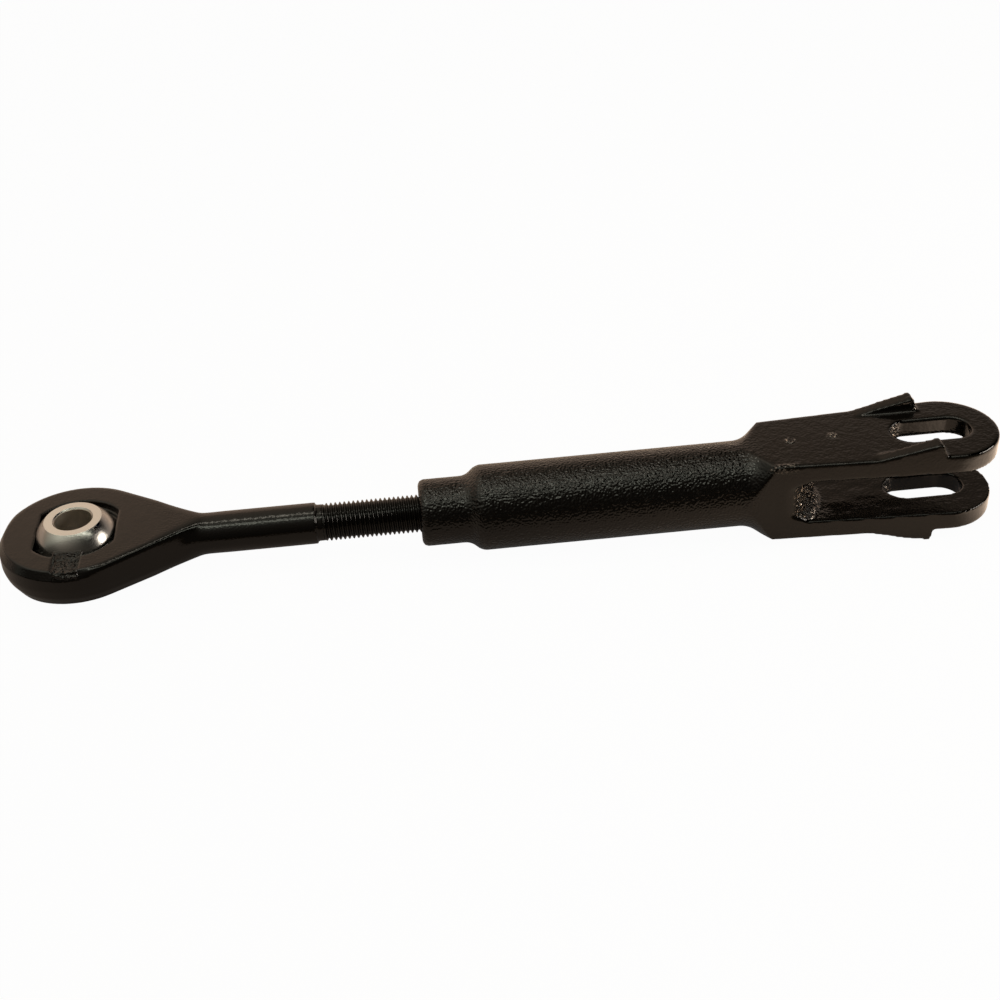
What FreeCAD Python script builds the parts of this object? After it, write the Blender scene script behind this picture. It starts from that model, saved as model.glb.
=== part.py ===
import FreeCAD, Part
import math
import os

# Tractor lift link: a swivel-ball eye on a threaded rod that screws into a cast body with a slotted fork.
# The frame has its origin at the centre of the ball, X along the link towards the fork, Z along the ball's bore.
# All sizes are in millimetres.

# Swivel ball
ball_diameter = 60.5
ball_width = 46.0
ball_bore_diameter = 25.4
ball_bore_chamfer = 1.2
socket_clearance = 0.12

# Forged eye
eye_diameter = 106.4
eye_thickness = 29.5
eye_draft_inset = 0.6
eye_upper_edge_radius = 3.5
eye_lower_edge_radius = 8.5
upper_flank_angle = 32.5
lower_flank_angle = 30.0
eye_tip_radius = 10.0
recess_radial_gap = 3.05
recess_depth = 5.8
recess_left_flat = -26.3
recess_right_flat = 28.0
tongue_left = -11.5
tongue_right = 8.5
scoop_left = -10.8
scoop_right = 7.6
scoop_side_slant = 3.4
scoop_inner_depth = 0.9
scoop_outer_depth = 4.9
scoop_land = 0.9

# Round shank, relief groove and threaded stud, the thread at its crest diameter
shank_diameter = 29.2
neck_length = 9.0
shank_end = 165.6
thread_diameter = 27.0
relief_diameter = 25.7
relief_width = 5.9
stud_end = 340.0
stud_end_chamfer = 2.4

# Cast body: collar, barrel, shoulder
thread_clearance = 0.15
collar_face = 238.7
collar_diameter = 47.6
collar_length = 34.0
collar_edge_radius = 4.0
barrel_start_radius = 30.5
barrel_end_radius = 30.75
barrel_shoulder_length = 7.8
barrel_shoulder_bevel = 2.2
bore_depth = 186.0
bore_mouth_chamfer = 1.6
drill_point_angle = 118.0
fork_cone_start = 473.0
fork_cone_angle = 42.0
fork_cone_fillet = 20.0

# Fork: two slotted ears with ramp lugs
fork_height = 62.2
fork_gap = 34.0
fork_root_width = 61.6
fork_root_corner = 488.0
ear_radius = 37.6
ear_centre = 615.8
ear_edge_bevel = 0.9
gap_start = 495.0
gap_corner_radius = 8.5
gap_root_centre = 491.0
gap_root_radius = 31.3
gap_root_bevel = 5.5
slot_width = 27.2
slot_start = 590.4
slot_travel = 30.2
lug_start = 558.0
lug_knee = 585.5
lug_knee_height = 6.5
lug_end = 601.0
upper_lug_height = 10.2
upper_lug_slant = 4.4
lower_lug_height = 8.6
lower_lug_slant = 1.6
lug_width = 12.0
lug_edge_bevel = 1.3

# Sizes that follow from the ones above
ball_radius = ball_diameter / 2
ball_half_width = ball_width / 2
ball_face_radius = math.sqrt(ball_radius ** 2 - ball_half_width ** 2)
socket_radius = ball_radius + socket_clearance
eye_radius = eye_diameter / 2
eye_half = eye_thickness / 2
recess_radius = ball_radius + recess_radial_gap
shank_radius = shank_diameter / 2
stud_radius = thread_diameter / 2
relief_radius = relief_diameter / 2
bore_radius = stud_radius + thread_clearance
fork_half = fork_height / 2
gap_half = fork_gap / 2
fork_back = fork_cone_start - fork_cone_fillet * math.tan(math.radians(fork_cone_angle / 2))
tip = ear_centre + ear_radius
reach = 2 * tip


def vec(x, y=0.0, z=0.0):
    """Point in the part's frame."""
    return FreeCAD.Vector(x, y, z)


def wire_of(points):
    """Closed wire of straight edges through the points."""
    return Part.makePolygon(list(points) + [points[0]])


def arc_through(start, middle, end):
    """Circular edge through three points."""
    return Part.Arc(start, middle, end).toShape()


def line_between(start, end):
    """Straight edge between two points."""
    return Part.makeLine(start, end)


def turned(edges, axis):
    """Solid made by turning a closed outline about an axis through the origin."""
    face = Part.Face(Part.Wire(edges))
    return face.revolve(vec(0), axis, 360)


def corner_fillet(before, corner, after, radius):
    """Start, middle and end of the arc of a radius that rounds a corner between two lines in the XZ plane."""
    back = (before - corner).normalize()
    ahead = (after - corner).normalize()
    half_angle = back.getAngle(ahead) / 2
    tangent_length = radius / math.tan(half_angle)
    inward = (back + ahead).normalize()
    centre = corner + inward * (radius / math.sin(half_angle))
    return corner + back * tangent_length, centre - inward * radius, corner + ahead * tangent_length


def bevelled(before, corner, after, length):
    """The two ends of a bevel that takes a length off each side of a corner."""
    return corner + (before - corner).normalize() * length, corner + (after - corner).normalize() * length


def swivel_ball():
    """Ball cut flat on both sides, bored through, with a chamfer at each mouth of the bore."""
    bore = ball_bore_diameter / 2
    mouth = bore + ball_bore_chamfer
    inner_top = vec(bore, 0, ball_half_width - ball_bore_chamfer)
    inner_low = vec(bore, 0, ball_bore_chamfer - ball_half_width)
    mouth_top = vec(mouth, 0, ball_half_width)
    mouth_low = vec(mouth, 0, -ball_half_width)
    rim_top = vec(ball_face_radius, 0, ball_half_width)
    rim_low = vec(ball_face_radius, 0, -ball_half_width)
    edges = [
        line_between(inner_low, inner_top),
        line_between(inner_top, mouth_top),
        line_between(mouth_top, rim_top),
        arc_through(rim_top, vec(ball_radius), rim_low),
        line_between(rim_low, mouth_low),
        line_between(mouth_low, inner_low),
    ]
    return turned(edges, vec(0, 0, 1))


def teardrop(inset, height, flank_angle):
    """Outline of the eye at a height: two arcs and their tangent lines at an angle, all moved in by the inset."""
    large = eye_radius - inset
    small = eye_tip_radius - inset
    sine = math.sin(math.radians(flank_angle))
    cosine = math.cos(math.radians(flank_angle))
    centre = vec((large - small) / sine, 0, height)
    far_large = vec(large * sine, large * cosine, height)
    near_large = vec(large * sine, -large * cosine, height)
    far_small = centre + vec(small * sine, small * cosine)
    near_small = centre + vec(small * sine, -small * cosine)
    return Part.Wire([
        arc_through(far_large, vec(-large, 0, height), near_large),
        line_between(near_large, near_small),
        arc_through(near_small, centre + vec(small), far_small),
        line_between(far_small, far_large),
    ])


def rounding_steps(radius):
    """Inset and height of the eye's outline at the foot, the middle and the top of an edge rounding."""
    steps = []
    for turn in [0, math.radians(45), math.radians(90)]:
        inset = eye_draft_inset + radius * (1 - math.cos(turn))
        steps.append((inset, eye_half - radius * (1 - math.sin(turn))))
    return steps


def eye_blank():
    """Forged eye before machining: drafted both ways from its parting plane, with its edges taken off in two bevels."""
    lower = [teardrop(inset, -height, lower_flank_angle) for inset, height in rounding_steps(eye_lower_edge_radius)]
    upper = [teardrop(inset, height, upper_flank_angle) for inset, height in rounding_steps(eye_upper_edge_radius)]
    middle = teardrop(0, 0, (lower_flank_angle + upper_flank_angle) / 2)
    return Part.makeLoft(lower[::-1] + [middle] + upper, True, True)


def neck_and_shank():
    """Turned part of the rod: neck that eases the eye's flanks into the shank, then shank, relief and stud."""
    flank_angle = math.radians(upper_flank_angle)
    corner = vec((eye_radius - shank_radius * math.cos(flank_angle)) / math.sin(flank_angle), 0, shank_radius)
    back = corner + vec(-math.cos(flank_angle), 0, math.sin(flank_angle)) * neck_length
    start, end = bevelled(back, corner, corner + vec(1), neck_length)
    neck = turned(wire_of([vec(start.x), start, end, vec(end.x)]).Edges, vec(1))
    level = Part.makeBox(end.x, 2 * eye_radius, eye_thickness, vec(0, -eye_radius, -eye_half))
    neck = neck.common(level)
    relief_end = shank_end + relief_width
    outline = [
        vec(end.x),
        vec(end.x, 0, shank_radius),
        vec(shank_end, 0, shank_radius),
        vec(shank_end, 0, relief_radius),
        vec(relief_end, 0, relief_radius),
        vec(relief_end + stud_radius - relief_radius, 0, stud_radius),
        vec(stud_end - stud_end_chamfer, 0, stud_radius),
        vec(stud_end, 0, stud_radius - stud_end_chamfer),
        vec(stud_end),
    ]
    shank = turned(wire_of(outline).Edges, vec(1))
    return neck.fuse(shank)


def eye_recess():
    """Round recess in the upper face of the eye, flat on two sides and left full at the staked tongue."""
    recess = Part.makeCylinder(recess_radius, recess_depth + 1, vec(0, 0, eye_half - recess_depth))
    between_flats = Part.makeBox(recess_right_flat - recess_left_flat, reach, eye_thickness + 2,
                                 vec(recess_left_flat, -reach / 2, 0))
    tongue = Part.makeBox(tongue_right - tongue_left, eye_radius, eye_thickness, vec(tongue_left, -eye_radius, 0))
    return recess.common(between_flats).cut(tongue)


def stake_scoop():
    """Wedge that the staking tool leaves in the tongue, deeper towards the rim, with a slanting wall at its left."""
    inner = -math.sqrt(socket_radius ** 2 - eye_half ** 2) - scoop_land
    outer = -eye_radius - 1
    above = eye_half + 1
    side = [
        vec(0, inner, above),
        vec(0, inner, eye_half - scoop_inner_depth),
        vec(0, outer, eye_half - scoop_outer_depth),
        vec(0, outer, above),
    ]
    wedge = Part.Face(wire_of(side)).extrude(vec(reach))
    wedge.translate(vec(-reach / 2))
    deepest = eye_half - scoop_outer_depth
    front = [
        vec(scoop_left, outer, eye_half),
        vec(scoop_left, outer, above),
        vec(scoop_right, outer, above),
        vec(scoop_right, outer, deepest),
        vec(scoop_left + scoop_side_slant, outer, deepest),
    ]
    return wedge.common(Part.Face(wire_of(front)).extrude(vec(0, inner - outer)))


def eye_rod():
    """One forging: eye with its spherical socket, neck, shank and threaded stud."""
    rod = eye_blank().fuse(neck_and_shank())
    rod = rod.cut(Part.makeSphere(socket_radius))
    rod = rod.cut(eye_recess())
    rod = rod.cut(stake_scoop())
    return rod.removeSplitter()


def body_blank():
    """Turned envelope of the cast body: collar, shoulder, tapering barrel, and the cone that the fork is cut to."""
    collar_radius = collar_diameter / 2
    collar_end = collar_face + collar_length
    barrel_start = collar_end + barrel_shoulder_length
    widest = 2 * fork_half
    cone_end = fork_cone_start + (widest - barrel_end_radius) / math.tan(math.radians(fork_cone_angle))
    edge = collar_edge_radius
    slant = math.radians(45)
    eased = edge * (1 - math.sin(slant))
    low_shoulder = vec(collar_end, 0, collar_radius)
    high_shoulder = vec(barrel_start, 0, barrel_start_radius)
    barrel_end = vec(fork_cone_start, 0, barrel_end_radius)
    cone_edge = vec(cone_end, 0, widest)
    turn = corner_fillet(high_shoulder, barrel_end, cone_edge, fork_cone_fillet)
    bevel = barrel_shoulder_bevel
    edges = wire_of([
        turn[2],
        cone_edge,
        vec(tip + 1, 0, widest),
        vec(tip + 1),
        vec(collar_face),
        vec(collar_face, 0, collar_radius - edge),
        vec(collar_face + eased, 0, collar_radius - eased),
        vec(collar_face + edge, 0, collar_radius),
        *bevelled(vec(collar_face, 0, collar_radius), low_shoulder, high_shoulder, bevel),
        *bevelled(low_shoulder, high_shoulder, barrel_end, bevel),
        turn[0],
    ]).Edges
    return turned(edges[:-1] + [arc_through(*turn)], vec(1))


def fork_plan(height):
    """Plan outline of the fork extruded to a height either side of the middle: sides that widen to a round end."""
    corner = vec(fork_root_corner, fork_root_width / 2)
    to_centre = vec(ear_centre) - corner
    slope = math.asin(ear_radius / to_centre.Length) + math.atan2(to_centre.y, to_centre.x)
    touch = vec(ear_centre - ear_radius * math.sin(slope), ear_radius * math.cos(slope))
    near_touch = vec(touch.x, -touch.y)
    sides = wire_of([
        touch,
        corner,
        vec(fork_back, corner.y),
        vec(fork_back, -corner.y),
        vec(corner.x, -corner.y),
        near_touch,
    ]).Edges
    outline = Part.Wire(sides[:-1] + [arc_through(near_touch, vec(tip), touch)])
    outline.translate(vec(0, 0, -height))
    return Part.Face(outline).extrude(vec(0, 0, 2 * height))


def level_edges(solid, height):
    """Edges of a plan solid that lie flat at a height above or below the middle."""
    return [edge for edge in solid.Edges
            if abs(abs(edge.BoundBox.ZMin) - height) < 1e-6 and edge.BoundBox.ZLength < 1e-6]


def gap_cutter():
    """Space between the ears, round-cornered at its root, where a wall bulges in that is bevelled into the ears."""
    space = Part.makeBox(reach, reach, fork_gap, vec(gap_root_centre, -reach / 2, -gap_half))
    space = space.cut(Part.makeCylinder(gap_root_radius, fork_gap, vec(gap_root_centre, 0, -gap_half)))
    rims = [edge for edge in space.Edges
            if edge.Curve.TypeId == "Part::GeomCircle" and edge.BoundBox.ZLength < 1e-6]
    space = space.makeChamfer(gap_root_bevel, rims)
    profile = Part.makeBox(reach, reach, fork_gap, vec(gap_start, -reach / 2, -gap_half))
    corners = [edge for edge in profile.Edges
               if edge.BoundBox.XMax < gap_start + 1e-6 and edge.BoundBox.YLength > reach / 2]
    return space.common(profile.makeFillet(gap_corner_radius, corners))


def slot_cutter():
    """Long hole through both ears: a slot with round ends."""
    radius = slot_width / 2
    depth = fork_height + 2 * upper_lug_height
    left = vec(slot_start, 0, -depth / 2)
    right = vec(slot_start + slot_travel, 0, -depth / 2)
    slot = Part.makeBox(slot_travel, slot_width, depth, left - vec(0, radius))
    slot = slot.fuse(Part.makeCylinder(radius, depth, left))
    return slot.fuse(Part.makeCylinder(radius, depth, right)).removeSplitter()


def ramp_lug(height, slant):
    """Ramp at the far side of the upper ear: it rises to a knee and on to its height, and its end slants down."""
    foot = fork_half - ear_edge_bevel - 1
    start = vec(lug_start, 0, fork_half)
    knee = vec(lug_knee, 0, fork_half + lug_knee_height)
    crest = vec(lug_end, 0, fork_half + height)
    back = start + (start - knee) * ((fork_half - foot) / lug_knee_height)
    root = vec(lug_end + slant, 0, foot)
    side = wire_of([back, knee, *bevelled(knee, crest, root, lug_edge_bevel), root])
    lug = Part.Face(side).extrude(vec(0, ear_radius))
    lug.translate(vec(0, ear_radius - lug_width))
    return lug.common(fork_plan(crest.z + 1))


def ramp_lugs():
    """Four ramps on the outer faces of the ears, flush with the ears' sides; the lower pair is less high."""
    upper = ramp_lug(upper_lug_height, upper_lug_slant)
    lower = ramp_lug(lower_lug_height, lower_lug_slant).mirror(vec(0), vec(0, 0, 1))
    return [upper, upper.mirror(vec(0), vec(0, 1)), lower, lower.mirror(vec(0), vec(0, 1))]


def body_bore():
    """Tapped hole of the barrel at its crest size, with a chamfered mouth and the point that a drill leaves."""
    point = bore_radius / math.tan(math.radians(drill_point_angle / 2))
    floor = collar_face + bore_depth
    outline = [
        vec(collar_face - 1),
        vec(collar_face - 1, 0, bore_radius + bore_mouth_chamfer + 1),
        vec(collar_face + bore_mouth_chamfer, 0, bore_radius),
        vec(floor, 0, bore_radius),
        vec(floor + point),
    ]
    return turned(wire_of(outline).Edges, vec(1))


def link_body():
    """One casting: collar and barrel with the tapped hole, and the fork with its slots and ramp lugs."""
    envelope = body_blank()
    barrel = envelope.common(Part.makeBox(fork_back - collar_face, reach, reach,
                                          vec(collar_face, -reach / 2, -reach / 2)))
    fork = fork_plan(fork_half)
    fork = fork.makeChamfer(ear_edge_bevel, level_edges(fork, fork_half))
    fork = fork.common(envelope)
    body = barrel.fuse(fork)
    body = body.fuse(ramp_lugs())
    body = body.cut([gap_cutter(), slot_cutter(), body_bore()])
    return body.removeSplitter()


def export_parts():
    """Write each piece to its own STEP file."""
    os.makedirs("parts", exist_ok=True)
    pieces = {"swivel_ball": swivel_ball(), "eye_rod": eye_rod(), "link_body": link_body()}
    for name, shape in pieces.items():
        shape.exportStep("parts/" + name + ".step")
        print(name, shape.isValid(), len(shape.Solids), round(shape.Volume), shape.BoundBox)


export_parts()
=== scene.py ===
import math

import bmesh
import bpy
import numpy as np
from mathutils import Matrix, Vector


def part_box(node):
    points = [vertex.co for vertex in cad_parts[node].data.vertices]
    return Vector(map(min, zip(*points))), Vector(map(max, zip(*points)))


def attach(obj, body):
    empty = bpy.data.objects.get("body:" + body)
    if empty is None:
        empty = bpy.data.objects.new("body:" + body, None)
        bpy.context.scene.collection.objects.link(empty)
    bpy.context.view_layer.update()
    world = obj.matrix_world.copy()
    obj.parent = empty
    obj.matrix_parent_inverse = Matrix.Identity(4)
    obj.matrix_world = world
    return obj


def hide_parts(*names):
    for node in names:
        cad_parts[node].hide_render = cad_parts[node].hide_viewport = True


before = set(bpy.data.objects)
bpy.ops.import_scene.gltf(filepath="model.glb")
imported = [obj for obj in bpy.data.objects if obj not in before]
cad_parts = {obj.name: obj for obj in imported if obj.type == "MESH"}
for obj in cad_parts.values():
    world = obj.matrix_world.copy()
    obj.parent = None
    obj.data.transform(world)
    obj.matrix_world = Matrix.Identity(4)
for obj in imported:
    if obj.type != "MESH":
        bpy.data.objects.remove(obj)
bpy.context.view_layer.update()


# Cast body
# One black-painted casting: collar, barrel and slotted fork. Places are measured from the ball's centre: two
# numbers say where a share starts and is full, and two more where it starts to fade and ends.
MM = 0.001


def millimetres(*lengths):
    """Lengths in metres from lengths in millimetres."""
    return [length * MM for length in lengths]


BODY_VOXEL = 1.22 * MM
BODY_SMOOTHING = 2
BARREL_SMOOTHING = 14
COLLAR_ALONG = millimetres(243, 246, 267, 270)
BARREL_ALONG = millimetres(284, 288, 452, 464)
POCKET_RIM_ALONG = millimetres(480, 485, 500, 506)
POCKET_RIM_ACROSS = millimetres(23, 26)
POCKET_RIM_LEVEL = millimetres(20, 23)
GAP_HALF = 17.0 * MM
ROOT_ALONG = millimetres(490, 494, 522, 534)
ROOT_ACROSS = millimetres(28.5, 30.2)
ROOT_LEVEL = [GAP_HALF - 1.0 * MM, GAP_HALF + 0.3 * MM]
SLOT_END_ALONG = millimetres(575.5, 577, 583, 588)
SLOT_END_ACROSS = millimetres(12.5, 14.2)
SLOT_END_LEVEL = millimetres(17.6, 18.6, 29.3, 30.5)
TOP_LEVEL = millimetres(29, 30)
PIT_PLACES = [millimetres(504.0, 2.0), millimetres(534.8, 3.4)]
PIT_REACH = millimetres(2.1, 4.2)
LUG_END_ALONG = millimetres(599.5, 600.3)
LUG_END_ACROSS = millimetres(16, 17)
LUG_END_LEVEL = millimetres(31.5, 32.5)
TOP_EDGE_ALONG = millimetres(476, 480, 492, 506)
TOP_EDGE_ACROSS = millimetres(26, 27.5)
TOP_EDGE_LEVEL = millimetres(25, 28)
TOP_EDGE_SHARE = 0.3
INNER_FACE_ALONG = millimetres(500, 512)
INNER_FACE_LEVEL = [GAP_HALF - 1.5 * MM, GAP_HALF - 0.5 * MM, 18 * MM, 19 * MM]
CAST_LUMP_SIZE = 2.4 * MM
CAST_LUMP_HEIGHT = 0.04 * MM
CREASE_SIZE = 9.0 * MM
CREASE_HEIGHT = 0.12 * MM
CREASE_SQUEEZE = (0.5, 1.6, 1.0)
CREASE_SINK = 0.8
RAW_LUMP_SIZE = 2.2 * MM
RAW_LUMP_HEIGHT = 0.55 * MM
RAW_LUMP_SINK = 0.6
FORK_SHOULDER = millimetres(462, 486)
CAST_PEEL_SIZE = 3.2 * MM
CAST_GRIT_SIZE = 1.6 * MM
CAST_PATCH_SIZE = 28 * MM
CAST_PATCH_SPREAD = (0.4, 0.7)
CAST_BUMP_DEPTH = 0.55 * MM
FORK_PEEL = 0.09
BARREL_PEEL = 0.14
FORK_GRIT = 0.11
BARREL_GRIT = 0.90
RAW_GRIT = 3.6
BARE_TIPS = (0.61, 0.69)
PAINT_COLOUR = (0.0042, 0.0036, 0.0030, 1.0)
PAINT_ROUGHNESS = 0.08
BARE_IRON_COLOUR = (0.68, 0.61, 0.54, 1.0)
WELD_DISTANCE = 0.002 * MM


def welded_copy(node, name):
    """Copy of a CAD node's mesh with its loose triangles merged into a closed skin."""
    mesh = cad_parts[node].data.copy()
    work = bmesh.new()
    work.from_mesh(mesh)
    bmesh.ops.remove_doubles(work, verts=work.verts, dist=WELD_DISTANCE)
    work.to_mesh(mesh)
    work.free()
    mesh.name = name
    piece = bpy.data.objects.new(name, mesh)
    bpy.context.scene.collection.objects.link(piece)
    return piece


def add_smoothing(piece, rounds, group=""):
    """Smooth a piece by rounds, everywhere or at each vertex by its share in a vertex group."""
    smooth = piece.modifiers.new("smoothing", "SMOOTH")
    smooth.factor = 0.5
    smooth.iterations = rounds
    smooth.vertex_group = group


def apply_modifiers(piece):
    """Keep the shape that a piece's modifiers give as its mesh."""
    shape = piece.evaluated_get(bpy.context.evaluated_depsgraph_get())
    mesh = bpy.data.meshes.new_from_object(shape)
    piece.modifiers.clear()
    piece.data = mesh


def evenly_meshed(piece, voxel, smoothing):
    """Replace a closed skin by evenly sized faces, with its sharp edges eased by rounds of smoothing."""
    remesh = piece.modifiers.new("even faces", "REMESH")
    remesh.mode = "VOXEL"
    remesh.voxel_size = voxel
    remesh.use_smooth_shade = True
    add_smoothing(piece, smoothing)
    apply_modifiers(piece)


def smoothed_where(piece, shares, rounds):
    """Even out a skin by rounds of smoothing, each at every vertex by its share from 0 to 1."""
    group = piece.vertex_groups.new(name="smoothed")
    for index in np.flatnonzero(shares > 0).tolist():
        group.add([index], float(shares[index]), "REPLACE")
    add_smoothing(piece, rounds, group.name)
    apply_modifiers(piece)


def vertex_array(mesh, field):
    """Vertex positions or normals as an array with a row for each vertex."""
    values = np.zeros(len(mesh.vertices) * 3)
    mesh.vertices.foreach_get(field, values)
    return values.reshape(-1, 3)


def put_vertices(piece, places):
    """Put a piece's vertices at an array of places."""
    piece.data.vertices.foreach_set("co", places.ravel())
    piece.data.update()


def push_out(piece, heights):
    """Move each vertex along its normal by a height."""
    normals = vertex_array(piece.data, "normal")
    put_vertices(piece, vertex_array(piece.data, "co") + heights[:, None] * normals)


def lattice_noise(points, size, seed):
    """Smooth noise from -1 to 1: random values at the corners of a cubic lattice of a size, blended
    along each axis by the step 3t^2 - 2t^3 of the way t between two corners."""
    count = 32
    values = np.random.default_rng(seed).uniform(-1, 1, (count, count, count))
    cell = np.floor(points / size).astype(int)
    way = points / size - cell
    step = way * way * (3 - 2 * way)
    total = np.zeros(len(points))
    for corner in np.ndindex(2, 2, 2):
        shift = np.array(corner)
        weight = np.prod(np.where(shift, step, 1 - step), axis=1)
        index = (cell + shift) % count
        total += weight * values[index[:, 0], index[:, 1], index[:, 2]]
    return total


def smooth_step(values, low, high):
    """0 below a low value, 1 above a high one and 3t^2 - 2t^3 of the way t between them."""
    way = np.clip((values - low) / (high - low), 0, 1)
    return way * way * (3 - 2 * way)


def within(values, band):
    """Share that rises from 0 to 1 between a band's first two values and falls to 0 between its last two."""
    start, full, fade, end = band
    return smooth_step(values, start, full) * (1 - smooth_step(values, fade, end))


def even_places(spots):
    """Share from 0 to 1 of the round collar and barrel and of the rim round the pocket at the fork's root."""
    x, y, z = spots.T
    rim = within(x, POCKET_RIM_ALONG) * smooth_step(np.abs(y), *POCKET_RIM_ACROSS)
    rim = rim * (1 - smooth_step(np.abs(z), *POCKET_RIM_LEVEL))
    return np.maximum.reduce([within(x, COLLAR_ALONG), within(x, BARREL_ALONG), rim])


def raw_places(spots):
    """Share from 0 to 1 of unworked casting skin: the wall at the root of the fork, the walls at the near
    ends of its slots, the far lug's end, the start of the near top edge and two pitted spots on the top."""
    x, y, z = spots.T
    root = (1 - smooth_step(np.abs(z), *ROOT_LEVEL)) * within(x, ROOT_ALONG)
    root = root * (1 - smooth_step(np.abs(y), *ROOT_ACROSS))
    slot = within(x, SLOT_END_ALONG) * (1 - smooth_step(np.abs(y), *SLOT_END_ACROSS))
    slot = slot * within(np.abs(z), SLOT_END_LEVEL)
    pits = [1 - smooth_step(np.hypot(x - pit_x, y - pit_y), *PIT_REACH) for pit_x, pit_y in PIT_PLACES]
    top = smooth_step(z, *TOP_LEVEL) * np.maximum.reduce(pits)
    lug = smooth_step(x, *LUG_END_ALONG) * smooth_step(y, *LUG_END_ACROSS) * smooth_step(z, *LUG_END_LEVEL)
    edge = within(x, TOP_EDGE_ALONG) * smooth_step(-y, *TOP_EDGE_ACROSS) * smooth_step(z, *TOP_EDGE_LEVEL)
    return np.maximum.reduce([root, slot, top, lug, TOP_EDGE_SHARE * edge])


def inner_faces(spots):
    """Share from 0 to 1 of the ears' inner faces, which the core leaves creased."""
    x, y, z = spots.T
    return within(np.abs(z), INNER_FACE_LEVEL) * smooth_step(x, *INNER_FACE_ALONG)


def mark(piece, name, shares):
    """Keep a share for each vertex as an attribute that the piece's material reads."""
    piece.data.attributes.new(name, "FLOAT", "POINT").data.foreach_set("value", shares)


def feed(node, inputs):
    """Set inputs of a shader node from values or signals."""
    for name, value in inputs.items():
        if isinstance(value, Signal):
            value.tree.links.new(value.socket, node.inputs[name])
        else:
            node.inputs[name].default_value = value


class Signal:
    """One output socket of a node tree; sums, products and quotients of it add Math nodes."""

    def __init__(self, tree, socket):
        self.tree = tree
        self.socket = socket

    def node(self, kind, settings, inputs, output=0):
        """A new node: its settings first, then each input, and one output to go on from if it has any."""
        made = self.tree.nodes.new(kind)
        for name, value in settings.items():
            if name == "stops":
                ramp = made.color_ramp
                while len(ramp.elements) < len(value):
                    ramp.elements.new(0.5)
                for element, (place, colour) in zip(ramp.elements, value):
                    element.position = place
                    element.color = colour
            else:
                setattr(made, name, value)
        feed(made, inputs)
        return Signal(self.tree, made.outputs[output]) if made.outputs else None

    def maths(self, operation, first, second=0.0):
        return self.node("ShaderNodeMath", {"operation": operation}, {0: first, 1: second})

    def __add__(self, other):
        return self.maths("ADD", self, other)

    def __radd__(self, other):
        return self.maths("ADD", other, self)

    def __sub__(self, other):
        return self.maths("SUBTRACT", self, other)

    def __rsub__(self, other):
        return self.maths("SUBTRACT", other, self)

    def __mul__(self, other):
        return self.maths("MULTIPLY", self, other)

    def __rmul__(self, other):
        return self.maths("MULTIPLY", other, self)

    def __truediv__(self, other):
        return self.maths("DIVIDE", self, other)

    def between(self, low, high):
        """0 below a low value, 1 above a high one, and a smooth step between them."""
        return self.node("ShaderNodeMapRange", {"interpolation_type": "SMOOTHSTEP"},
                         {"Value": self, "From Min": low, "From Max": high})

    def noise(self, size, detail, roughness=0.5):
        """Noise of a feature size in metres over this vector signal."""
        return self.node("ShaderNodeTexNoise", {},
                         {"Vector": self, "Scale": 1 / size, "Detail": detail, "Roughness": roughness})

    def axis(self, name):
        """One component of this vector signal."""
        return self.node("ShaderNodeSeparateXYZ", {}, {0: self}, "XYZ".index(name))

    def scaled(self, factor):
        """This colour signal times a plain signal."""
        return self.node("ShaderNodeVectorMath", {"operation": "SCALE"}, {"Vector": self, "Scale": factor})

    def mixed(self, first, second):
        """Colour that goes from the first to the second as this signal goes from 0 to 1."""
        return self.node("ShaderNodeMix", {"data_type": "RGBA"}, {0: self, 6: first, 7: second}, 2)

    def bump(self, depth, strength=1.0):
        """Surface direction that this height signal gives where a height of 1 is a depth in metres."""
        return self.node("ShaderNodeBump", {}, {"Strength": strength, "Distance": depth, "Height": self})


def new_finish(name):
    """A bare Principled material: the material, its shader node and the object's own coordinates."""
    material = bpy.data.materials.new(name)
    material.use_nodes = True
    tree = material.node_tree
    shader = tree.nodes["Principled BSDF"]
    coordinates = tree.nodes.new("ShaderNodeTexCoord")
    return material, shader, Signal(tree, coordinates.outputs["Object"])


def raw_share(place):
    """Share of rough skin that the mesh marks in its attribute."""
    return place.node("ShaderNodeAttribute", {"attribute_name": "raw"}, {}, "Fac")


def cast_paint():
    """Gloss black paint over a sand-cast skin: fine grains that are sharper on the round barrel than on the
    fork and sharpest on the raw skin, where the tips of the grains are bare iron."""
    material, shader, place = new_finish("cast_paint")
    barrel = 1 - place.axis("X").between(*FORK_SHOULDER)
    raw = raw_share(place)
    peel = place.noise(CAST_PEEL_SIZE, detail=1.0)
    grit = place.noise(CAST_GRIT_SIZE, detail=0.0)
    peel_height = FORK_PEEL + BARREL_PEEL * barrel
    grit_height = FORK_GRIT + BARREL_GRIT * barrel + RAW_GRIT * raw
    height = peel * peel_height + grit * grit_height
    bare = raw * grit.between(*BARE_TIPS)
    patches = place.noise(CAST_PATCH_SIZE, detail=3.0, roughness=0.6)
    feed(shader, {
        "Base Color": bare.mixed(PAINT_COLOUR, BARE_IRON_COLOUR),
        "Metallic": bare,
        "Roughness": PAINT_ROUGHNESS + 0.06 * patches.between(*CAST_PATCH_SPREAD) + 0.15 * bare,
        "Normal": height.bump(CAST_BUMP_DEPTH),
    })
    return material


def in_material(piece, material):
    """Give a piece one material."""
    piece.data.materials.clear()
    piece.data.materials.append(material)
    for face in piece.data.polygons:
        face.material_index = 0


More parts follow.
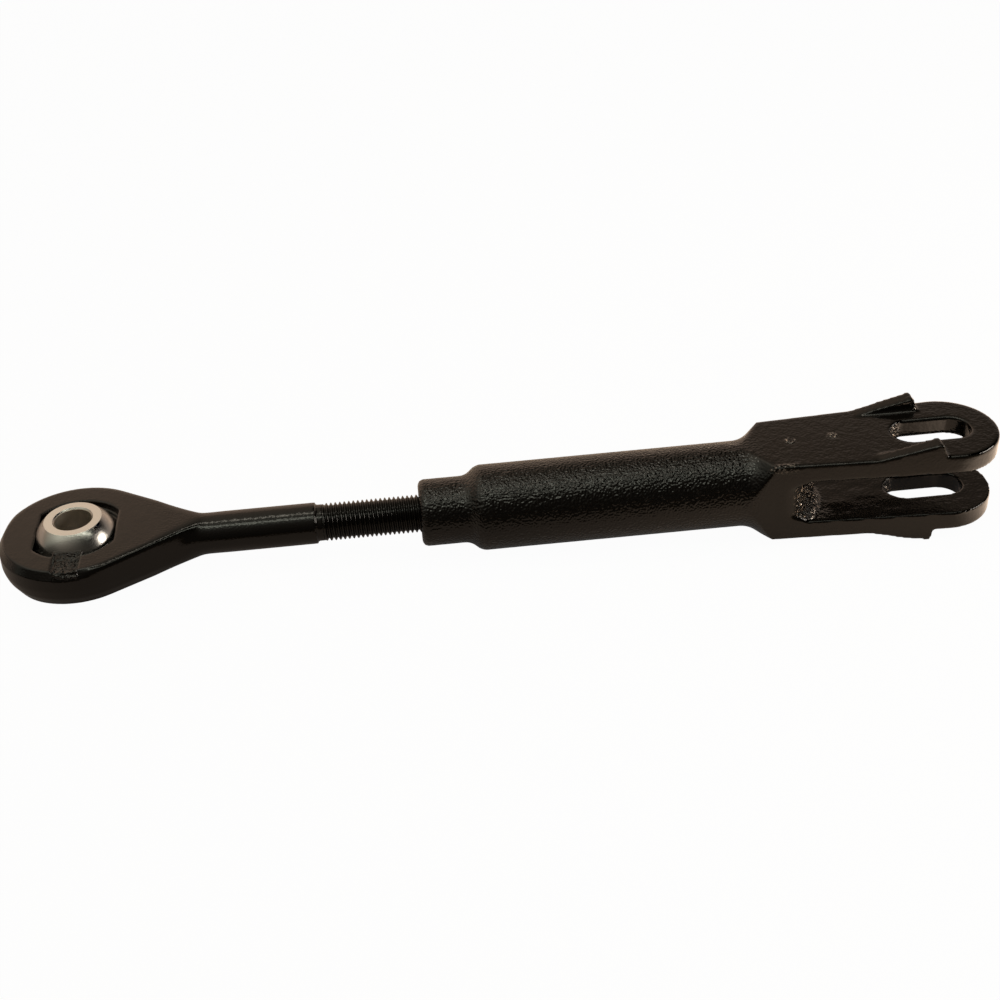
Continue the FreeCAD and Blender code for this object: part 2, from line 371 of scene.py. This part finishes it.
body_skin = welded_copy("link_body", "cast_body_skin")
evenly_meshed(body_skin, BODY_VOXEL, BODY_SMOOTHING)
smoothed_where(body_skin, even_places(vertex_array(body_skin.data, "co")), BARREL_SMOOTHING)
spots = vertex_array(body_skin.data, "co")
raw_skin = raw_places(spots)
lumps = CAST_LUMP_HEIGHT * lattice_noise(spots, CAST_LUMP_SIZE, seed=11)
crease_noise = lattice_noise(spots * CREASE_SQUEEZE, CREASE_SIZE, seed=13)
creases = CREASE_HEIGHT * inner_faces(spots) * (crease_noise - CREASE_SINK)
raw_lumps = RAW_LUMP_HEIGHT * raw_skin * (lattice_noise(spots, RAW_LUMP_SIZE, seed=12) - RAW_LUMP_SINK)
push_out(body_skin, lumps + creases + raw_lumps)
mark(body_skin, "raw", raw_skin)
in_material(body_skin, cast_paint())
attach(body_skin, "body")
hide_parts("link_body")


# Forged eye rod
# One drop forging with the eye, the neck and the turned shank, in the same black paint but far smoother. Its
# staked scoop is rough, and the eye's outer end and near left edge fall away as the real forging's do.
ROD_VOXEL = 0.8 * MM
ROD_SMOOTHING = 2
STUD_START = 171.0 * MM
NECK_ALONG = millimetres(52, 70, 92, 104)
NECK_SMOOTHING = 85
STAKED_ALONG = millimetres(-9.5, -8.0, 7.0, 8.0)
STAKED_ACROSS = millimetres(-28.5, -27.5)
STAKED_LEVEL = millimetres(9.5, 11.0)
STAKED_LUMP_SIZE = 1.9 * MM
STAKED_LUMP_HEIGHT = 0.50 * MM
STAKED_LUMP_SINK = 0.3
FILLING_HEIGHT = 3.4 * MM
FILLING_ALONG = millimetres(-10.5, -8.5, 7.5, 9.0)
FILLING_ACROSS = millimetres(34, 51)
FILLING_LEVEL = millimetres(0.0, 8.5, 11.5, 14.5)
DRAFT_HEIGHT = 3.5 * MM
DRAFT_RADIUS = millimetres(46, 50)
DRAFT_ALONG = millimetres(20, 50)
DRAFT_LEVEL = millimetres(1, 19)
EYE_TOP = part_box("eye_rod")[1][2]
EDGE_RADIUS = 48.9 * MM
EDGE_SLOPE = 1.5
EDGE_ALONG = millimetres(2, 26)
EDGE_ACROSS = millimetres(4, 28)
FORGED_WAVE_SIZE = 9 * MM
FORGED_PEEL_SIZE = 1.3 * MM
FORGED_GRIT_SIZE = 1.9 * MM
FORGED_BUMP_DEPTH = 0.5 * MM
FORGED_WAVE = 0.16
FORGED_PEEL = 0.22
FORGED_ROUGHNESS = 0.09


def forged_paint():
    """Gloss black paint over forged and turned steel: a gentle waviness and a fine peel, rough where it is
    staked."""
    material, shader, place = new_finish("forged_paint")
    wave = place.noise(FORGED_WAVE_SIZE, detail=1.0, roughness=0.4)
    peel = place.noise(FORGED_PEEL_SIZE, detail=1.0)
    grit = place.noise(FORGED_GRIT_SIZE, detail=0.0)
    height = wave * FORGED_WAVE + peel * FORGED_PEEL + grit * (RAW_GRIT * raw_share(place))
    feed(shader, {
        "Base Color": PAINT_COLOUR,
        "Roughness": FORGED_ROUGHNESS,
        "Normal": height.bump(FORGED_BUMP_DEPTH),
    })
    return material


def staked_places(spots):
    """Share from 0 to 1 of the hollow that staking leaves in the eye's upper face."""
    x, y, z = spots.T
    return within(x, STAKED_ALONG) * (1 - smooth_step(y, *STAKED_ACROSS)) * smooth_step(z, *STAKED_LEVEL)


def staked_filling(spots):
    """Rise of the staked hollow's floor and of the wall just under it, which grows towards the rim."""
    x, y, z = spots.T
    share = within(x, FILLING_ALONG) * within(z, FILLING_LEVEL) * smooth_step(-y, *FILLING_ACROSS)
    return FILLING_HEIGHT * share


def end_draft(spots):
    """Distance that the eye's outer end stands back below the parting plane, as its forging die needs."""
    x, y, z = spots.T
    outer = smooth_step(np.hypot(x, y), *DRAFT_RADIUS)
    return DRAFT_HEIGHT * outer * smooth_step(-x, *DRAFT_ALONG) * smooth_step(-z, *DRAFT_LEVEL)


def worn_edge(spots):
    """Moves that take the eye's upper edge down to an even slope outside a radius, on its near left side."""
    x, y, z = spots.T
    radius = np.hypot(x, y)
    excess = np.maximum(z - EYE_TOP + EDGE_SLOPE * (radius - EDGE_RADIUS), 0)
    share = (1 - smooth_step(x, *EDGE_ALONG)) * (1 - smooth_step(y, *EDGE_ACROSS))
    step = share * excess / (2 * EDGE_SLOPE)
    return np.stack([-x / radius * step, -y / radius * step, -EDGE_SLOPE * step], axis=1)


def cut_off(piece, x):
    """Cut a closed skin square to the link at a distance x and close the cut."""
    work = bmesh.new()
    work.from_mesh(piece.data)
    parts = list(work.verts) + list(work.edges) + list(work.faces)
    cut = bmesh.ops.bisect_plane(work, geom=parts, plane_co=(x, 0, 0), plane_no=(1, 0, 0), clear_outer=True)
    rim = [part for part in cut["geom_cut"] if isinstance(part, bmesh.types.BMEdge)]
    bmesh.ops.contextual_create(work, geom=rim)
    work.to_mesh(piece.data)
    work.free()


rod_skin = welded_copy("eye_rod", "forged_rod_skin")
cut_off(rod_skin, STUD_START)
evenly_meshed(rod_skin, ROD_VOXEL, ROD_SMOOTHING)
smoothed_where(rod_skin, within(vertex_array(rod_skin.data, "co")[:, 0], NECK_ALONG), NECK_SMOOTHING)
spots = vertex_array(rod_skin.data, "co")
spots[:, 0] += end_draft(spots)
spots[:, 2] += staked_filling(spots)
spots += worn_edge(spots)
put_vertices(rod_skin, spots)
staked = staked_places(spots)
staked_noise = lattice_noise(spots, STAKED_LUMP_SIZE, seed=14)
push_out(rod_skin, STAKED_LUMP_HEIGHT * staked * (staked_noise - STAKED_LUMP_SINK))
mark(rod_skin, "raw", staked)
in_material(rod_skin, forged_paint())
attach(rod_skin, "rod")
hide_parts("eye_rod")


# Screw thread
# The rolled thread of the stud, painted with the rod: eight threads to the inch, with round crests and roots.
# It runs out at both ends to the radius of the relief groove.
THREAD_PITCH = 25.4 / 8 * MM
THREAD_CREST = 13.45 * MM
THREAD_DEPTH = 1.9 * MM
THREAD_FLANK = (0.02, 0.46)
THREAD_START = 170.6 * MM
THREAD_END = 338.5 * MM
THREAD_RUNOUT = 2.6 * MM
THREAD_STEPS = 64
THREAD_STATIONS = 12
RELIEF_RADIUS = 12.85 * MM


def thread_radius(x, angle):
    """Radius of the rolled thread's skin: its round crest falls by the step 3t^2 - 2t^3 to its round root,
    shifted along by the angle's share of a turn; it runs out to the relief groove's radius."""
    phase = np.mod(x / THREAD_PITCH - angle / (2 * math.pi), 1.0)
    radius = THREAD_CREST - THREAD_DEPTH * smooth_step(np.abs(phase - 0.5), *THREAD_FLANK)
    fade = np.clip(np.minimum(x - THREAD_START, THREAD_END - x) / THREAD_RUNOUT, 0, 1)
    return RELIEF_RADIUS + (radius - RELIEF_RADIUS) * fade


def grid_faces(rows, columns):
    """Four-sided faces of a grid whose columns close into a ring."""
    row, column = np.meshgrid(np.arange(rows - 1), np.arange(columns), indexing="ij")
    start = row * columns
    after = (column + 1) % columns
    corners = [start + column, start + after, start + columns + after, start + columns + column]
    return np.stack([corner.ravel() for corner in corners], axis=1)


def mesh_piece(name, points, faces):
    """New object from arrays of points and faces, shaded smooth."""
    mesh = bpy.data.meshes.new(name)
    mesh.from_pydata(points.tolist(), [], faces.tolist())
    mesh.validate()
    mesh.polygons.foreach_set("use_smooth", np.ones(len(mesh.polygons), bool))
    piece = bpy.data.objects.new(name, mesh)
    bpy.context.scene.collection.objects.link(piece)
    return piece


def screw_thread():
    """Helical skin: rows follow the thread's lead, so each row keeps one place on the thread's profile."""
    stations = np.arange(THREAD_STATIONS) / THREAD_STATIONS
    turns = math.ceil((THREAD_END - THREAD_START) / THREAD_PITCH) + 2
    shares = (np.arange(turns)[:, None] + stations[None, :]).ravel()
    angle = np.linspace(0, 2 * math.pi, THREAD_STEPS, endpoint=False)
    x = THREAD_START + (shares[:, None] - 1 + angle[None, :] / (2 * math.pi)) * THREAD_PITCH
    x = np.clip(x, THREAD_START, THREAD_END)
    radius = thread_radius(x, np.broadcast_to(angle, x.shape))
    points = np.stack([x, radius * np.cos(angle), radius * np.sin(angle)], axis=-1).reshape(-1, 3)
    return mesh_piece("stud_thread", points, grid_faces(len(shares), THREAD_STEPS))


thread = screw_thread()
in_material(thread, bpy.data.materials["forged_paint"])
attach(thread, "rod")
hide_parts("eye_rod")


# Swivel ball
# Turned steel ball with flat faces and a chamfered bore, left bright in the painted eye.
FLAT_FACE_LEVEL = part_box("swivel_ball")[1][2]
BORE_RADIUS = 12.7 * MM
RINGS_PER_METRE = 2600
SPECK_SIZE = 1.3 * MM
STEEL_BUMP_DEPTH = 0.08 * MM
STEEL_BUMP_STRENGTH = 0.7
ROLLING_FACE_ROUGHNESS = 0.24
ROLLING_FACE_COLOUR = (0.60, 0.585, 0.56, 1)
FLAT_FACE_COLOUR = (0.97, 0.98, 0.95, 1)
BORE_COLOUR = (0.62, 0.57, 0.50, 1)


def bright_steel():
    """Turned steel: satin flat faces, a brighter rolling face with fine rings about the bore, small specks,
    and a dull bore."""
    material, shader, place = new_finish("bright_steel")
    height = place.axis("Z")
    flat = height.maths("ABSOLUTE", height).between(FLAT_FACE_LEVEL - 0.15 * MM, FLAT_FACE_LEVEL - 0.05 * MM)
    side = place.axis("X")
    depth = place.axis("Y")
    bore_wall = (BORE_RADIUS + 0.2 * MM) ** 2
    bore_clear = (BORE_RADIUS + 0.6 * MM) ** 2
    bore = 1 - (side * side + depth * depth).between(bore_wall, bore_clear)
    rings = height.node("ShaderNodeTexNoise", {"noise_dimensions": "1D"},
                        {"W": height, "Scale": RINGS_PER_METRE, "Detail": 3})
    specks = place.noise(SPECK_SIZE, detail=2.0, roughness=0.6)
    feed(shader, {
        "Base Color": bore.mixed(flat.mixed(ROLLING_FACE_COLOUR, FLAT_FACE_COLOUR), BORE_COLOUR),
        "Metallic": 1.0,
        "Roughness": ROLLING_FACE_ROUGHNESS + 0.18 * flat + 0.23 * bore,
        "Normal": (rings * 0.4 + specks * 0.6).bump(STEEL_BUMP_DEPTH, STEEL_BUMP_STRENGTH),
    })
    return material


in_material(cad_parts["swivel_ball"], bright_steel())


# Studio
# A pale sheet of paper under the link, its shade and light painted on, a warm wall behind it, two strip lamps
# over it and a window at its right. Angles about the link are in degrees from straight up towards the camera.
FLOOR_HALF = 6.0
FLOOR_CLEARANCE = 0.4 * MM
BALL_FOOT = millimetres(-19.7, -23.0)
LUG_FOOT = millimetres(600.0, -39.7)
# Bands and colours that paint the link's shade and light on the paper: painted shade in front, painted light
# behind it and towards the fork, and a painted glow beyond the fork.
FRONT_END = (-0.26, -0.09)
BEHIND_ACROSS = (0.02, 0.12)
PAINTED_LIGHT_ALONG = (0.26, 0.60)
# Painted glow: where and how strongly the paper beyond the fork emits, standing in for light falling there.
GLOW_START = (0.625, 0.69)
GLOW_FADE = (0.70, 0.80)
GLOW_ACROSS = (-0.16, -0.08)
PAINTED_GLOW_STRENGTH = 1.5
FRONT_LEVEL = 0.14
PAST_FRONT_LEVEL = 0.72
# Painted shade and painted light: the paper's colour where the link's shade would fall and where more light
# would fall.
PAINTED_SHADE_PAPER_COLOUR = (0.42, 0.30, 0.21, 1)
PAINTED_LIGHT_PAPER_COLOUR = (0.98, 0.74, 0.57, 1)
PAINTED_GLOW_COLOUR = (1.0, 0.78, 0.60, 1)
BLACK = (0, 0, 0, 1)
WHITE = (1, 1, 1, 1)
WHITE_GLOW = 0.97
FLOOR_MIRRORED = 0.10
WALL_MIRRORED = 0.15
WALL_EDGE = (-59, -56)
ROOM_ENDS = (0.5, 0.95)
ROOM_END_DIMMING = 0.55
ROOM_LEVEL = 1.06
ROOM_SLANT = 3.1
ROOM_COLOURS = [
    (-110, (0.52, 0.34, 0.22, 1)),
    (-58.5, (0.52, 0.34, 0.22, 1)),
    (-56.5, (0.40, 0.29, 0.21, 1)),
    (-50, (0.33, 0.26, 0.20, 1)),
    (-20, (0.33, 0.29, 0.23, 1)),
    (-8, (0.34, 0.32, 0.26, 1)),
    (32, (0.30, 0.30, 0.25, 1)),
    (40, (0.13, 0.12, 0.10, 1)),
    (60, (0.06, 0.052, 0.043, 1)),
    (80, (0.035, 0.03, 0.025, 1)),
    (110, (0.03, 0.025, 0.02, 1)),
]
STRIP_AIM = (0.45, 0, 0)
STRIP_LENGTH = 1.5
WINDOW_PLACE = (1.60, -0.15, 0.52)
WINDOW_AIM = (0.1, 0, 0)


def ramp_place(degrees):
    """Place from 0 to 1 on the room's colour ramp of an angle about the link."""
    return degrees / 360 + 0.5


def white_share(tree, mirrored):
    """How far the background is plain white: wholly for the camera, and by a share where gloss or glass
    mirrors it."""
    path = tree.nodes.new("ShaderNodeLightPath")
    seen = Signal(tree, path.outputs["Is Camera Ray"])
    in_gloss = Signal(tree, path.outputs["Is Glossy Ray"])
    in_glass = Signal(tree, path.outputs["Is Transmission Ray"])
    return seen + (in_gloss + in_glass) * mirrored


def studio_floor():
    """Large plane through the lower lugs and the ball's lower rim: white to the camera, and otherwise paper
    whose colour holds painted shade of the link, darkest in front, and painted light behind it and towards
    the fork, with a painted glow beyond the fork."""
    slope = (LUG_FOOT[1] - BALL_FOOT[1]) / (LUG_FOOT[0] - BALL_FOOT[0])
    level = BALL_FOOT[1] - FLOOR_CLEARANCE
    corners = FLOOR_HALF * np.array([(-1, -1), (1, -1), (1, 1), (-1, 1)])
    points = np.array([(x, y, level + slope * (x - BALL_FOOT[0])) for x, y in corners])
    floor = mesh_piece("studio_floor", points, np.array([[0, 1, 2, 3]]))
    material, paper, place = new_finish("floor_white")
    along = place.axis("X")
    across = place.axis("Y")
    # Painted shade: the paper's colour is darkest in front of the link, where its shade would fall.
    past_front = across.between(*FRONT_END)
    behind = across.between(*BEHIND_ACROSS)
    paper_painted_light = behind.maths("MAXIMUM", along.between(*PAINTED_LIGHT_ALONG), behind)
    # Painted glow: emission on the paper past the fork that stands in for light falling there.
    glow = along.between(*GLOW_START) * (1 - 0.5 * along.between(*GLOW_FADE)) * across.between(*GLOW_ACROSS)
    # Painted shade and painted light: the paper is darker near the link, paler behind it and towards the
    # fork.
    paper_painted_shading = paper_painted_light.mixed(PAINTED_SHADE_PAPER_COLOUR, PAINTED_LIGHT_PAPER_COLOUR)
    feed(paper, {
        "Base Color": paper_painted_shading.scaled(FRONT_LEVEL + PAST_FRONT_LEVEL * past_front),
        "Roughness": 1.0,
        "Specular IOR Level": 0.0,
        "Emission Color": glow.mixed(BLACK, PAINTED_GLOW_COLOUR),
        "Emission Strength": PAINTED_GLOW_STRENGTH,
    })
    tree = material.node_tree
    shining = place.node("ShaderNodeEmission", {}, {"Color": WHITE, "Strength": 1.0})
    matt = place.node("ShaderNodeBsdfDiffuse", {}, {"Color": WHITE})
    white = place.node("ShaderNodeMixShader", {}, {0: WHITE_GLOW, 1: matt, 2: shining})
    surface = Signal(tree, paper.outputs[0])
    share = white_share(tree, FLOOR_MIRRORED * past_front)
    both = place.node("ShaderNodeMixShader", {}, {0: share, 1: surface, 2: white})
    tree.links.new(both.socket, tree.nodes["Material Output"].inputs["Surface"])
    in_material(floor, material)


def studio_world():
    """Room light by its angle about the link, from the back wall over the ceiling to the dark side of the
    camera; it is dimmer at both ends of the link, and overhead it falls off from the eye to the fork."""
    world = bpy.data.worlds.new("studio")
    bpy.context.scene.world = world
    world.use_nodes = True
    tree = world.node_tree
    tree.nodes.clear()
    coordinates = tree.nodes.new("ShaderNodeTexCoord")
    direction = Signal(tree, coordinates.outputs["Generated"])
    along = direction.axis("X")
    towards = direction.axis("Y") * -1
    upwards = direction.axis("Z")
    share = towards.maths("ARCTAN2", towards, upwards) / (2 * math.pi) + 0.5
    stops = [(ramp_place(degrees), colour) for degrees, colour in ROOM_COLOURS]
    room = share.node("ShaderNodeValToRGB", {"stops": stops}, {"Fac": share})
    ends = along.maths("ABSOLUTE", along).between(*ROOM_ENDS)
    slant = ROOM_SLANT * along * upwards.maths("MAXIMUM", upwards, 0)
    level = (1 - ROOM_END_DIMMING * ends) * (ROOM_LEVEL - slant)
    wall = 1 - share.between(*[ramp_place(degrees) for degrees in WALL_EDGE])
    colour = white_share(tree, WALL_MIRRORED * wall).mixed(room.scaled(level), WHITE)
    background = colour.node("ShaderNodeBackground", {}, {"Color": colour, "Strength": 1.0})
    background.node("ShaderNodeOutputWorld", {}, {"Surface": background})


def soft_lamp(name, place, aim, length, width, radiance, colour):
    """Rectangular lamp at a place, facing an aim, its length along the link as far as it can be."""
    light = bpy.data.lights.new(name, "AREA")
    light.shape = "RECTANGLE"
    light.size = length
    light.size_y = width
    light.energy = radiance * math.pi * length * width
    light.color = colour
    lamp = bpy.data.objects.new(name, light)
    backwards = (Vector(place) - Vector(aim)).normalized()
    sideways = Vector((0, 1, 0)).cross(backwards).normalized()
    if abs(sideways.x) < 0.5:
        sideways = Vector((0, 0, 1)).cross(backwards).normalized()
    upright = backwards.cross(sideways)
    turn = Matrix((sideways, upright, backwards)).transposed()
    lamp.matrix_world = Matrix.Translation(place) @ turn.to_4x4()
    bpy.context.scene.collection.objects.link(lamp)


def over_link(degrees, distance):
    """Place over the strip lamps' aim, at a distance from the link's axis and an angle about it."""
    turn = math.radians(degrees)
    return (STRIP_AIM[0], -distance * math.sin(turn), distance * math.cos(turn))


studio_floor()
studio_world()
soft_lamp("back_strip", over_link(-5, 1.35), STRIP_AIM, STRIP_LENGTH, width=0.12, radiance=3.3,
          colour=(1.0, 0.93, 0.78))
soft_lamp("front_strip", over_link(21, 1.3), STRIP_AIM, STRIP_LENGTH, width=0.18, radiance=2.3,
          colour=(0.98, 1.0, 0.84))
soft_lamp("window", WINDOW_PLACE, WINDOW_AIM, length=0.60, width=0.40, radiance=9.0, colour=(1.0, 0.91, 0.80))


# Camera
# Stands at the near side of the link and looks down on it, as in the photo.
CAMERA_PLACE = (0.235016, -0.840417, 0.593382)
CAMERA_AIM = (0.295552, 0.0, 0.004301)
CAMERA_ROLL = math.radians(-3.0329)
CAMERA_LENS = 52.186
CAMERA_SENSOR = 36.0
CAMERA_NEAR = 0.01
IMAGE_SIZE = 1000
IMAGE_AIM = (499.487, 500.647)


def photo_camera():
    """Camera from its place, the point it looks at and its roll; the shift puts that point at its pixel."""
    view = bpy.data.cameras.new("photo_camera")
    view.lens = CAMERA_LENS
    view.sensor_width = CAMERA_SENSOR
    view.clip_start = CAMERA_NEAR
    view.shift_x = (IMAGE_SIZE / 2 - IMAGE_AIM[0]) / IMAGE_SIZE
    view.shift_y = (IMAGE_AIM[1] - IMAGE_SIZE / 2) / IMAGE_SIZE
    camera = bpy.data.objects.new("photo_camera", view)
    forward = (Vector(CAMERA_AIM) - Vector(CAMERA_PLACE)).normalized()
    turned = forward.to_track_quat("-Z", "Y") @ Matrix.Rotation(CAMERA_ROLL, 3, "Z").to_quaternion()
    camera.rotation_mode = "QUATERNION"
    camera.rotation_quaternion = turned
    camera.location = CAMERA_PLACE
    bpy.context.scene.collection.objects.link(camera)
    bpy.context.scene.camera = camera


photo_camera()
bpy.context.scene.view_settings.view_transform = "Standard"
